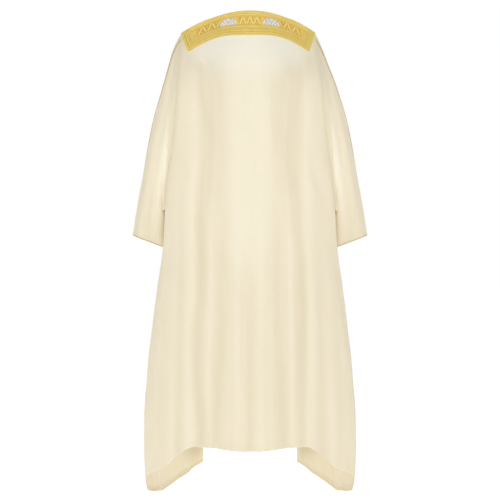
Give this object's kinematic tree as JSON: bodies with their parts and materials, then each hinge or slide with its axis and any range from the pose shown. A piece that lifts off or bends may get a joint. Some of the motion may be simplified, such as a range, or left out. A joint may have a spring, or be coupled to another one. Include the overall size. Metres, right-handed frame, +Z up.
{
  "type": "open-front robe cloak",
  "caption": "Hollow open-fronted cloak of cream cloth with wide sleeves and a gold braided yoke band, filled out as it is worn.",
  "frame": {"origin": "where the wearer's shoulders and neck hold it: midway between the two shoulder seams, at the height of the back neck's edge", "axes": "+Z up, -Y out of the open front, +X towards the wearer's left"},
  "size_m": [0.7218, 0.3115, 1.4522],
  "materials": {
    "cream_cloth": "fine plain-woven wool, soft and slightly sheer",
    "gold_braid": "metal-thread braid with a satin gleam",
    "silver_braid": "metal-thread braid with a satin gleam",
    "gold_cord": "thin twisted metal-thread cord"
  },
  "bodies": {
    "root": {"back_panel": "cream_cloth", "front_left": "cream_cloth", "front_right": "cream_cloth", "sleeve_left": "cream_cloth", "sleeve_right": "cream_cloth", "yoke_band": "gold_braid", "front_band_left": "gold_braid", "front_band_right": "gold_braid", "zigzag_left": "gold_braid", "zigzag_centre": "gold_braid", "zigzag_right": "gold_braid", "silver_plate_left": "silver_braid", "silver_plate_right": "silver_braid", "silver_zigzag_left": "silver_braid", "silver_zigzag_right": "silver_braid", "overarm_cord_left": "gold_cord", "overarm_cord_right": "gold_cord", "cuff_cord_left": "gold_cord", "cuff_cord_right": "gold_cord"}
  },
  "joints": []
}
